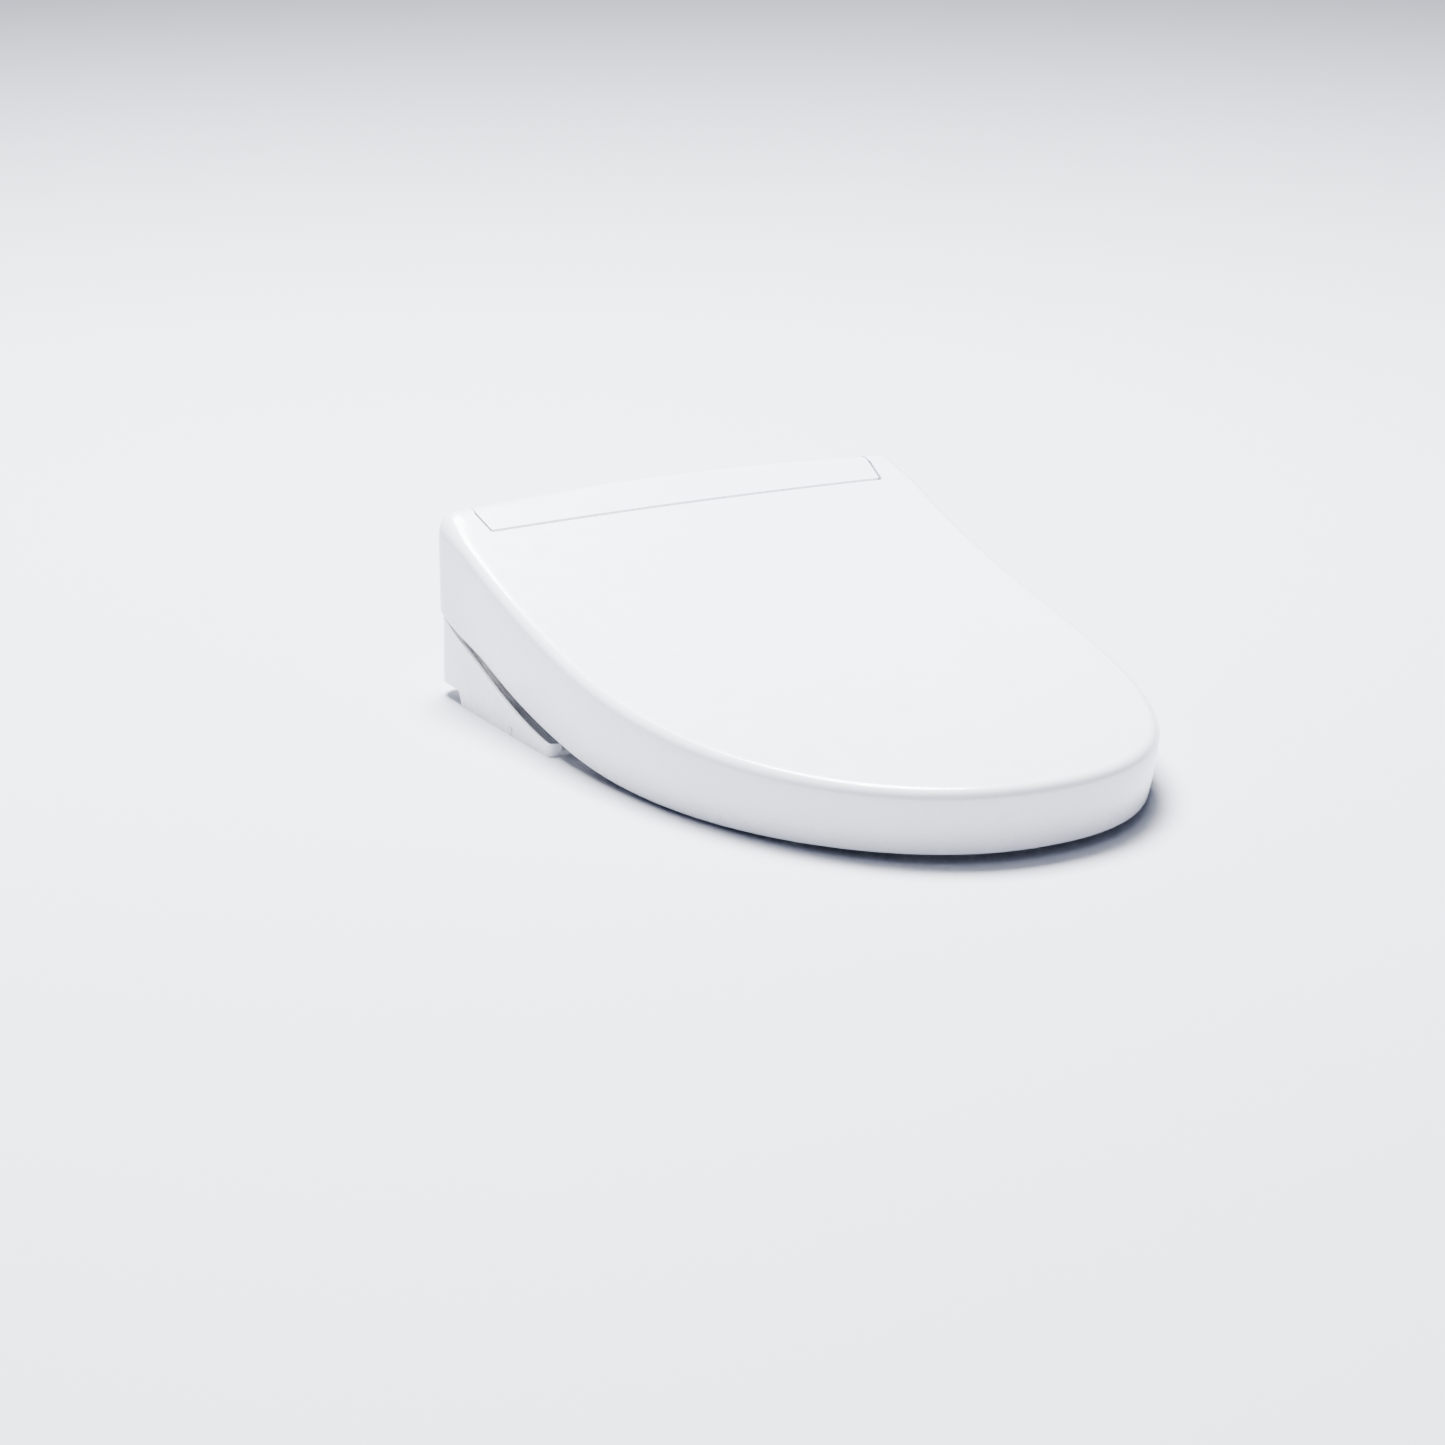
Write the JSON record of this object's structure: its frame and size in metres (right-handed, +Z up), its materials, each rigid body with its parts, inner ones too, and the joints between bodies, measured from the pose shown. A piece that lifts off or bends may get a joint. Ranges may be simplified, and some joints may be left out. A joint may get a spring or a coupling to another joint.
{
  "type": "electric bidet seat",
  "caption": "Bidet toilet seat with a sloping full-cover lid, hinged seat ring, rear water and warm-air unit, sliding spray wand and bolt-on bracket plate.",
  "frame": {"origin": "midway between the two mounting bolts, on the bowl's rim plane", "axes": "+Z up, -Y towards the front of the seat, +X to the right as seen from the front"},
  "size_m": [0.382, 0.528, 0.1392],
  "materials": {
    "white_gloss": "gloss",
    "seat_plastic": "satin gloss",
    "case_plastic": "satin",
    "grey_plastic": "matt",
    "clear_grey": "gloss",
    "rubber_grey": "matt",
    "rubber_dark": "matt",
    "steel": "brushed",
    "chrome": "polished",
    "brass_part": "satin",
    "board_green": "satin",
    "heater_foil": "satin",
    "dark_lens": "gloss"
  },
  "bodies": {
    "base": {"bracket_plate": "grey_plastic", "bolt_adapters": "grey_plastic"},
    "seat": {"seat_top_shell": "seat_plastic", "seat_base_shell": "seat_plastic", "seat_heater": "heater_foil", "seat_bumpers": "rubber_grey"},
    "lid": {"lid_shell": "white_gloss", "lid_bumpers": "rubber_grey"},
    "wand": {"wand_tube": "case_plastic", "wand_tip": "chrome", "wand_rack": "grey_plastic"},
    "pinion": {"drive_pinion": "brass_part"},
    "shutter": {"nozzle_shutter": "white_gloss"},
    "flap": {"air_flap": "white_gloss"},
    "rotor": {"blower_rotor": "rubber_dark"},
    "knob": {"drain_knob": "grey_plastic"},
    "cartridge": {"deodoriser_cartridge": "grey_plastic"},
    "wash": {"wash_button": "case_plastic"},
    "stop": {"stop_button": "case_plastic"},
    "release": {"release_button": "grey_plastic"},
    "unit": {"seat_damper": "grey_plastic", "lid_damper": "grey_plastic", "hinge_pins": "steel", "hinge_brackets": "steel", "top_cover": "white_gloss", "upper_cover": "white_gloss", "lower_case": "case_plastic", "side_cover_left": "white_gloss", "side_cover_right": "white_gloss", "rear_cover": "case_plastic", "wand_guide": "grey_plastic", "wand_motor": "steel", "air_duct": "grey_plastic", "blower_housing": "grey_plastic", "blower_motor": "steel", "air_heater": "heater_foil", "heat_exchanger": "clear_grey", "solenoid_valve": "grey_plastic", "flow_pump": "grey_plastic", "supply_hose": "rubber_grey", "wand_hose": "rubber_grey", "water_inlet": "chrome", "board_tray": "grey_plastic", "control_board": "board_green", "power_board": "board_green", "status_lens": "dark_lens", "case_screws": "steel", "cord_gland": "rubber_dark"}
  },
  "joints": [
    {"name": "unit_slide", "type": "slide", "parent": "base", "child": "unit", "axis": [0, -1, 0], "range_m": [0, 0.03]},
    {"name": "seat_hinge", "type": "hinge", "parent": "unit", "child": "seat", "pos_m": [0, 0.046, 0.098], "axis": [1, 0, 0], "range_deg": [-95, 0]},
    {"name": "lid_hinge", "type": "hinge", "parent": "seat", "child": "lid", "pos_m": [0, 0.046, 0.098], "axis": [-1, 0, 0], "range_deg": [0, 105]},
    {"name": "wand_slide", "type": "slide", "parent": "unit", "child": "wand", "axis": [0, -0.9781, -0.2079], "range_m": [0, 0.09]},
    {"name": "pinion_spin", "type": "hinge", "parent": "unit", "child": "pinion", "pos_m": [-0.016, -0.06151, 0.0191], "axis": [1, 0, 0], "range_deg": [0, 1033.3]},
    {"name": "shutter_hinge", "type": "hinge", "parent": "unit", "child": "shutter", "pos_m": [-0.016, -0.1248, 0.033], "axis": [-1, 0, 0], "range_deg": [0, 101]},
    {"name": "flap_hinge", "type": "hinge", "parent": "unit", "child": "flap", "pos_m": [0.024, -0.1248, 0.033], "axis": [-1, 0, 0], "range_deg": [0, 75]},
    {"name": "rotor_spin", "type": "hinge", "parent": "unit", "child": "rotor", "pos_m": [0.078, -0.03, 0.022], "axis": [0, 0, 1], "continuous": true},
    {"name": "knob_turn", "type": "hinge", "parent": "unit", "child": "knob", "pos_m": [0.18, -0.038, 0.013], "axis": [1, 0, 0], "range_deg": [0, 90]},
    {"name": "cartridge_slide", "type": "slide", "parent": "unit", "child": "cartridge", "axis": [1, 0, 0], "range_m": [0, 0.06]},
    {"name": "wash_press", "type": "slide", "parent": "unit", "child": "wash", "axis": [-1, 0, 0], "range_m": [0, 0.0015], "stiffness_N_per_m": 300},
    {"name": "stop_press", "type": "slide", "parent": "unit", "child": "stop", "axis": [-1, 0, 0], "range_m": [0, 0.0015], "stiffness_N_per_m": 300},
    {"name": "release_press", "type": "slide", "parent": "unit", "child": "release", "axis": [1, 0, 0], "range_m": [0, 0.002], "stiffness_N_per_m": 300}
  ],
  "couplings": [
    {"joint": "pinion_spin", "follows": "wand_slide", "rad_per_m": 200},
    {"joint": "shutter_hinge", "follows": "wand_slide", "rad_per_m": 19.392}
  ]
}
